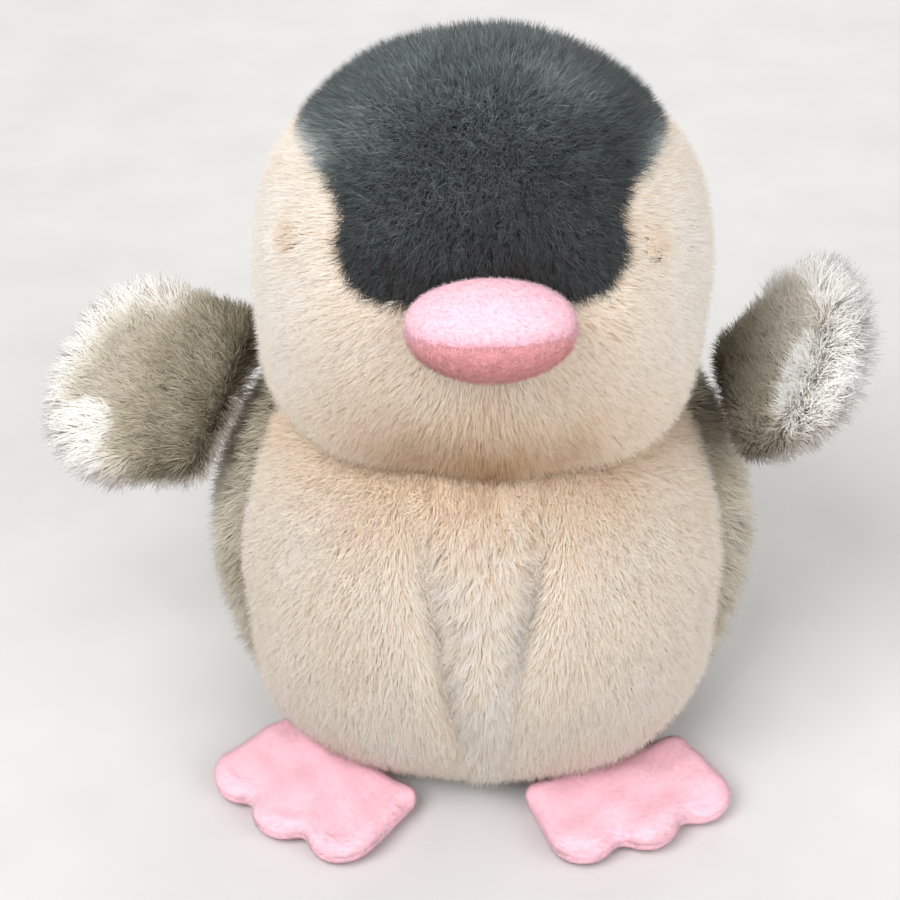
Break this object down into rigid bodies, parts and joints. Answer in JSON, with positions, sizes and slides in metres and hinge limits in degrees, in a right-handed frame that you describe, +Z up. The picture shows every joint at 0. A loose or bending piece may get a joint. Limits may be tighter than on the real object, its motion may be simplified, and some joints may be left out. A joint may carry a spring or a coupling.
{
  "type": "plush penguin",
  "caption": "Small stuffed penguin chick toy that sits on a flat base, with a round head, padded beak, paddle wings, webbed feet and a short tail.",
  "frame": {"origin": "middle of the flat base, on the surface the toy sits on", "axes": "+Z up; the face looks along -Y; +X is the toy's own left"},
  "size_m": [0.1613, 0.1306, 0.1503],
  "materials": {
    "cream_plush": "soft pile",
    "charcoal_plush": "soft pile with pale tips",
    "grey_plush": "long shaggy pile with white tips",
    "white_plush": "long shaggy pile",
    "pink_velour": "short smooth pile",
    "dusky_pink_velour": "short fuzzy pile",
    "stuffing": "loose fibre",
    "bag_cloth": "woven bag of pellets",
    "eye_black": "polished",
    "washer_plastic": "moulded"
  },
  "bodies": {
    "body": {"body_stuffing": "stuffing", "pellet_bag": "bag_cloth", "base_panel": "cream_plush", "belly_left": "cream_plush", "belly_right": "cream_plush", "belly_centre": "cream_plush", "back_left": "grey_plush", "back_right": "grey_plush"},
    "neck": {"neck_stuffing": "stuffing"},
    "head": {"head_stuffing": "stuffing", "head_cap": "charcoal_plush", "head_back": "charcoal_plush", "cheek_left": "cream_plush", "cheek_right": "cream_plush", "beak_upper": "pink_velour", "beak_lower": "dusky_pink_velour", "beak_stuffing": "stuffing", "left_eye": "eye_black", "right_eye": "eye_black", "left_eye_washer": "washer_plastic", "right_eye_washer": "washer_plastic"},
    "left_wing": {"left_wing_grey": "grey_plush", "left_wing_white": "white_plush", "left_wing_stuffing": "stuffing"},
    "right_wing": {"right_wing_grey": "grey_plush", "right_wing_white": "white_plush", "right_wing_stuffing": "stuffing"},
    "left_foot": {"left_foot_top": "pink_velour", "left_foot_sole": "pink_velour", "left_foot_stuffing": "stuffing"},
    "right_foot": {"right_foot_top": "pink_velour", "right_foot_sole": "pink_velour", "right_foot_stuffing": "stuffing"},
    "tail": {"tail_upper": "grey_plush", "tail_lower": "white_plush", "tail_stuffing": "stuffing"}
  },
  "joints": [
    {"name": "head_turn", "type": "hinge", "parent": "body", "child": "neck", "pos_m": [0, -0.004, 0.106], "axis": [0, 0, 1], "range_deg": [-20, 20], "stiffness_Nm_per_rad": 0.08},
    {"name": "head_nod", "type": "hinge", "parent": "neck", "child": "head", "pos_m": [0, -0.004, 0.106], "axis": [1, 0, 0], "range_deg": [-10, 10], "stiffness_Nm_per_rad": 0.25},
    {"name": "left_wing_flap", "type": "hinge", "parent": "body", "child": "left_wing", "pos_m": [0.05426, 0, 0.0726], "axis": [0.027, -0.9986, -0.0449], "range_deg": [-90, 15], "stiffness_Nm_per_rad": 0.02},
    {"name": "right_wing_flap", "type": "hinge", "parent": "body", "child": "right_wing", "pos_m": [-0.05426, 0, 0.0726], "axis": [0.3642, 0.7071, 0.6061], "range_deg": [-30, 70], "stiffness_Nm_per_rad": 0.02},
    {"name": "left_foot_flex", "type": "hinge", "parent": "body", "child": "left_foot", "pos_m": [0.02619, -0.03724, 0.0035], "axis": [-0.9063, -0.4226, 0], "range_deg": [0, 30], "stiffness_Nm_per_rad": 0.02},
    {"name": "right_foot_flex", "type": "hinge", "parent": "body", "child": "right_foot", "pos_m": [-0.02859, -0.03451, 0.0035], "axis": [-0.7771, 0.6293, 0], "range_deg": [0, 30], "stiffness_Nm_per_rad": 0.02},
    {"name": "tail_flex", "type": "hinge", "parent": "body", "child": "tail", "pos_m": [0, 0.05361, 0.01028], "axis": [1, 0, 0], "range_deg": [-12, 25], "stiffness_Nm_per_rad": 0.01}
  ]
}
